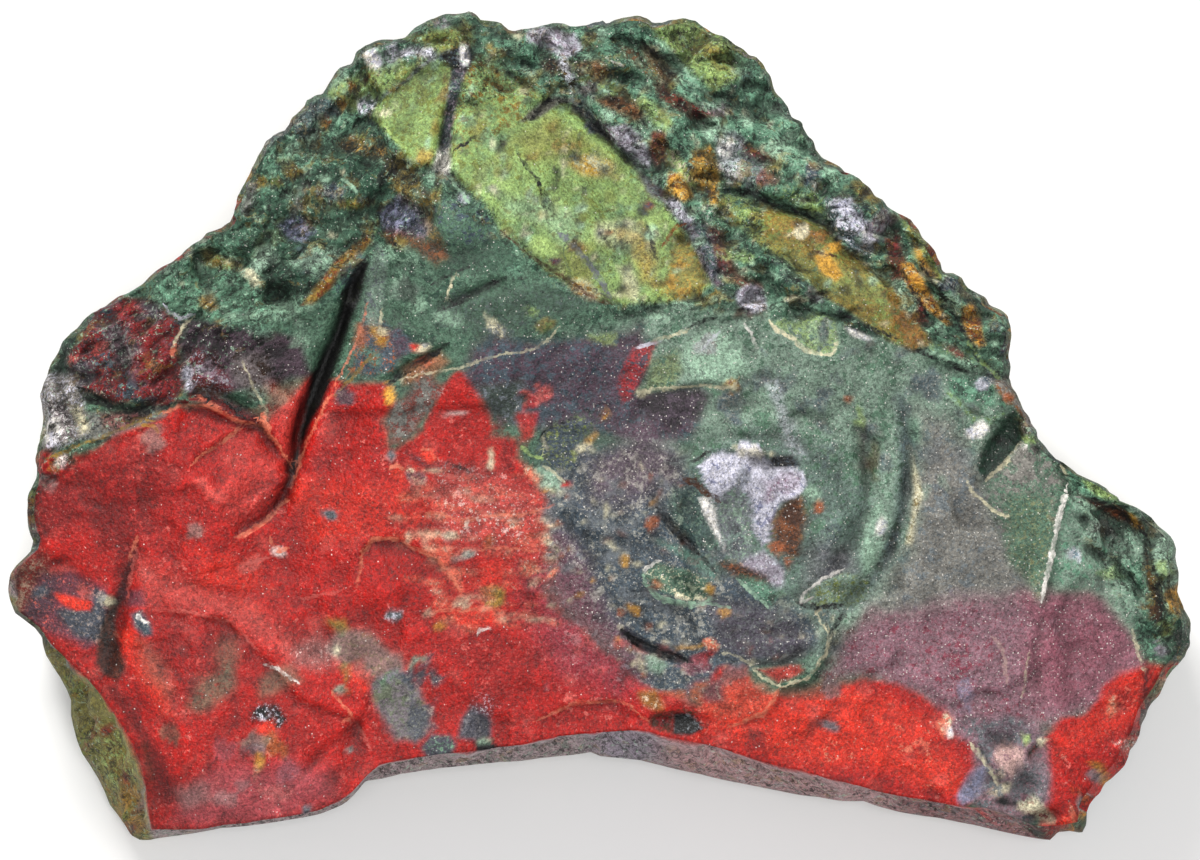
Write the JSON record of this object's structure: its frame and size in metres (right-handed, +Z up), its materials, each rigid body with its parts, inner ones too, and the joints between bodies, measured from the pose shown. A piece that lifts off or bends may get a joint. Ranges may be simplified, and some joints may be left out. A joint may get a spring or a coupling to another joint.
{
  "type": "rough bloodstone specimen",
  "caption": "Rough chunk of red and green bloodstone with one broad fresh break, a rugged weathered rind and an arched front wall, lying on a small flat rest.",
  "frame": {"origin": "middle of the plan outline, on the surface the stone lies on", "axes": "+Z up; +X from the narrow left tip to the right tip, along the broad break; +Y from the arched front wall to the weathered back"},
  "size_m": [0.1522, 0.1078, 0.046],
  "materials": {
    "bloodstone": "Opaque jasper, waxy where it broke: brick red and mauve through grey-green to dark green, with a dull yellow-green, ochre and teal weathered rind, white quartz veins and black specks"
  },
  "bodies": {
    "root": {"bloodstone": "bloodstone"}
  },
  "joints": []
}
